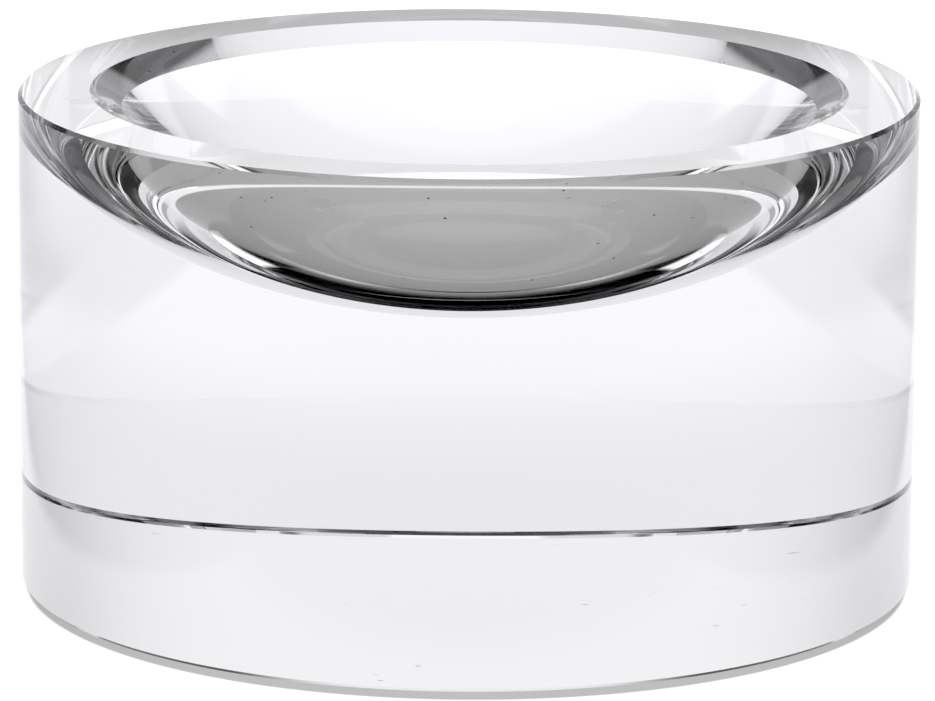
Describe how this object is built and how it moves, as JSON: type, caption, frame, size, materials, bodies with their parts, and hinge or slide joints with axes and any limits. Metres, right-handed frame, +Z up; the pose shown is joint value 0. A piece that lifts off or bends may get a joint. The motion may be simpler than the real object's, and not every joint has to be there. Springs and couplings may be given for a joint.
{
  "type": "floating candle bowl",
  "caption": "Thick round drum of clear crystal glass with a shallow bowl and its conical lip ground into the top, on small clear bumper pads.",
  "frame": {"origin": "on the drum's axis, in the plane that the pads rest on", "axes": "+Z up along the drum's axis; -Y faces the viewer of the picture, +X is to their right"},
  "size_m": [0.18, 0.18, 0.101],
  "materials": {
    "crystal_glass": "polished clear crystal glass",
    "clear_pad": "clear soft polyurethane"
  },
  "bodies": {
    "root": {"glass_drum": "crystal_glass", "bumper_pad_rear_right": "clear_pad", "bumper_pad_rear_left": "clear_pad", "bumper_pad_front_left": "clear_pad", "bumper_pad_front_right": "clear_pad"}
  },
  "joints": []
}
